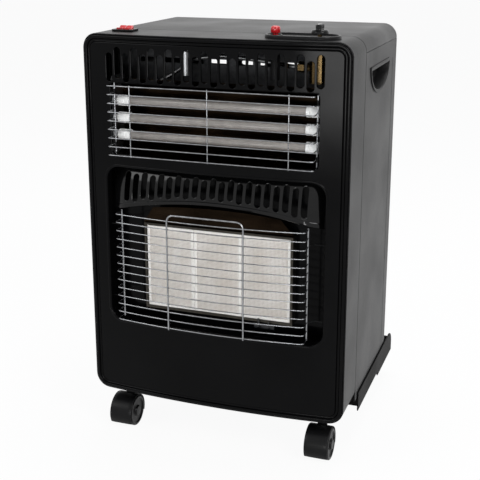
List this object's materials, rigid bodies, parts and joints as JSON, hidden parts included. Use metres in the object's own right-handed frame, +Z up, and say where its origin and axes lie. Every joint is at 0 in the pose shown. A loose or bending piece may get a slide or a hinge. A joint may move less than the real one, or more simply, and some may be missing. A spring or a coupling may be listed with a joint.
{
  "type": "portable gas cabinet heater",
  "caption": "Portable cabinet heater with a slotted bowed front, electric element bay above a ceramic gas burner, wire guards, lift-off rear cover and swivel casters.",
  "frame": {"origin": "on the floor, under the middle of the heater's bounding box", "axes": "+Z up, -Y towards the front that heats, +X to the right of someone facing that front"},
  "size_m": [0.4246, 0.4144, 0.6781],
  "materials": {
    "satin_black_steel": "satin",
    "gloss_black_steel": "gloss",
    "black_plastic": "fine grain",
    "zinc_steel": "zinc plated",
    "brass": "machined",
    "red_plastic": "gloss",
    "bronzed_steel": "heat darkened",
    "quartz": "frosted",
    "white_ceramic": "glazed white",
    "plaque_ceramic": "matt perforated",
    "aluminium_tube": "drawn",
    "chrome_wire": "polished",
    "caster_plastic": "moulded"
  },
  "bodies": {
    "cabinet": {"front_frame": "satin_black_steel", "top_cover": "satin_black_steel", "side_panel_right": "satin_black_steel", "side_panel_left": "satin_black_steel", "base_tray": "satin_black_steel", "front_panel": "gloss_black_steel", "burner_chamber": "gloss_black_steel", "burner_hood": "gloss_black_steel", "handle_cup_right": "black_plastic", "handle_cup_left": "black_plastic", "control_bezel": "black_plastic", "piezo_igniter": "black_plastic", "switch_bezel": "black_plastic", "heat_shield": "zinc_steel", "tilt_switch": "zinc_steel", "element_bracket_left": "zinc_steel", "element_bracket_right": "zinc_steel", "burner_housing": "zinc_steel", "pilot_burner": "zinc_steel", "gas_valve": "brass", "gas_inlet": "brass", "element_reflector": "bronzed_steel", "heat_deflector": "bronzed_steel", "quartz_tube_1": "quartz", "quartz_tube_2": "quartz", "quartz_tube_3": "quartz", "tube_cap_1_left": "white_ceramic", "tube_cap_1_right": "white_ceramic", "tube_cap_2_left": "white_ceramic", "tube_cap_2_right": "white_ceramic", "tube_cap_3_left": "white_ceramic", "tube_cap_3_right": "white_ceramic", "ceramic_plaque_1": "plaque_ceramic", "ceramic_plaque_2": "plaque_ceramic", "ceramic_plaque_3": "plaque_ceramic", "gas_pipe": "aluminium_tube", "upper_guard": "chrome_wire", "lower_guard": "chrome_wire", "caster_stem_front_left": "zinc_steel", "caster_stem_front_right": "zinc_steel", "caster_stem_rear_left": "zinc_steel", "caster_stem_rear_right": "zinc_steel"},
    "rear_cover": {"rear_cover": "satin_black_steel"},
    "valve_spindle": {"valve_spindle": "brass"},
    "gas_knob": {"gas_knob": "black_plastic"},
    "igniter_button": {"igniter_button": "red_plastic"},
    "rocker_left": {"rocker_left": "red_plastic"},
    "rocker_right": {"rocker_right": "red_plastic"},
    "caster_hood_front_left": {"caster_hood_front_left": "caster_plastic"},
    "caster_wheels_front_left": {"caster_wheels_front_left": "caster_plastic"},
    "caster_hood_front_right": {"caster_hood_front_right": "caster_plastic"},
    "caster_wheels_front_right": {"caster_wheels_front_right": "caster_plastic"},
    "caster_hood_rear_left": {"caster_hood_rear_left": "caster_plastic"},
    "caster_wheels_rear_left": {"caster_wheels_rear_left": "caster_plastic"},
    "caster_hood_rear_right": {"caster_hood_rear_right": "caster_plastic"},
    "caster_wheels_rear_right": {"caster_wheels_rear_right": "caster_plastic"}
  },
  "joints": [
    {"name": "rear_cover_lift", "type": "slide", "parent": "cabinet", "child": "rear_cover", "axis": [0, 0, 1], "range_m": [0, 0.3]},
    {"name": "gas_knob_push", "type": "slide", "parent": "cabinet", "child": "valve_spindle", "axis": [0, 0, -1], "range_m": [0, 0.003], "stiffness_N_per_m": 1500, "springref_m": -0.002},
    {"name": "gas_knob_turn", "type": "hinge", "parent": "valve_spindle", "child": "gas_knob", "pos_m": [0.152, -0.1358, 0.668], "axis": [0, 0, 1], "range_deg": [0, 180]},
    {"name": "igniter_press", "type": "slide", "parent": "cabinet", "child": "igniter_button", "axis": [0, 0, -1], "range_m": [0, 0.004], "stiffness_N_per_m": 1200, "springref_m": -0.002},
    {"name": "rocker_left_tilt", "type": "hinge", "parent": "cabinet", "child": "rocker_left", "pos_m": [-0.1657, -0.1238, 0.659], "axis": [-1, 0, 0], "range_deg": [0, 16]},
    {"name": "rocker_right_tilt", "type": "hinge", "parent": "cabinet", "child": "rocker_right", "pos_m": [-0.1543, -0.1238, 0.659], "axis": [-1, 0, 0], "range_deg": [0, 16]},
    {"name": "caster_front_left_swivel", "type": "hinge", "parent": "cabinet", "child": "caster_hood_front_left", "pos_m": [-0.168, -0.1278, 0.054], "axis": [0, 0, 1], "continuous": true},
    {"name": "caster_front_left_roll", "type": "hinge", "parent": "caster_hood_front_left", "child": "caster_wheels_front_left", "pos_m": [-0.168, -0.1428, 0.025], "axis": [1, 0, 0], "continuous": true},
    {"name": "caster_front_right_swivel", "type": "hinge", "parent": "cabinet", "child": "caster_hood_front_right", "pos_m": [0.168, -0.1278, 0.054], "axis": [0, 0, 1], "continuous": true},
    {"name": "caster_front_right_roll", "type": "hinge", "parent": "caster_hood_front_right", "child": "caster_wheels_front_right", "pos_m": [0.168, -0.1428, 0.025], "axis": [1, 0, 0], "continuous": true},
    {"name": "caster_rear_left_swivel", "type": "hinge", "parent": "cabinet", "child": "caster_hood_rear_left", "pos_m": [-0.168, 0.1622, 0.054], "axis": [0, 0, 1], "continuous": true},
    {"name": "caster_rear_left_roll", "type": "hinge", "parent": "caster_hood_rear_left", "child": "caster_wheels_rear_left", "pos_m": [-0.168, 0.1472, 0.025], "axis": [1, 0, 0], "continuous": true},
    {"name": "caster_rear_right_swivel", "type": "hinge", "parent": "cabinet", "child": "caster_hood_rear_right", "pos_m": [0.168, 0.1622, 0.054], "axis": [0, 0, 1], "continuous": true},
    {"name": "caster_rear_right_roll", "type": "hinge", "parent": "caster_hood_rear_right", "child": "caster_wheels_rear_right", "pos_m": [0.168, 0.1472, 0.025], "axis": [1, 0, 0], "continuous": true}
  ]
}
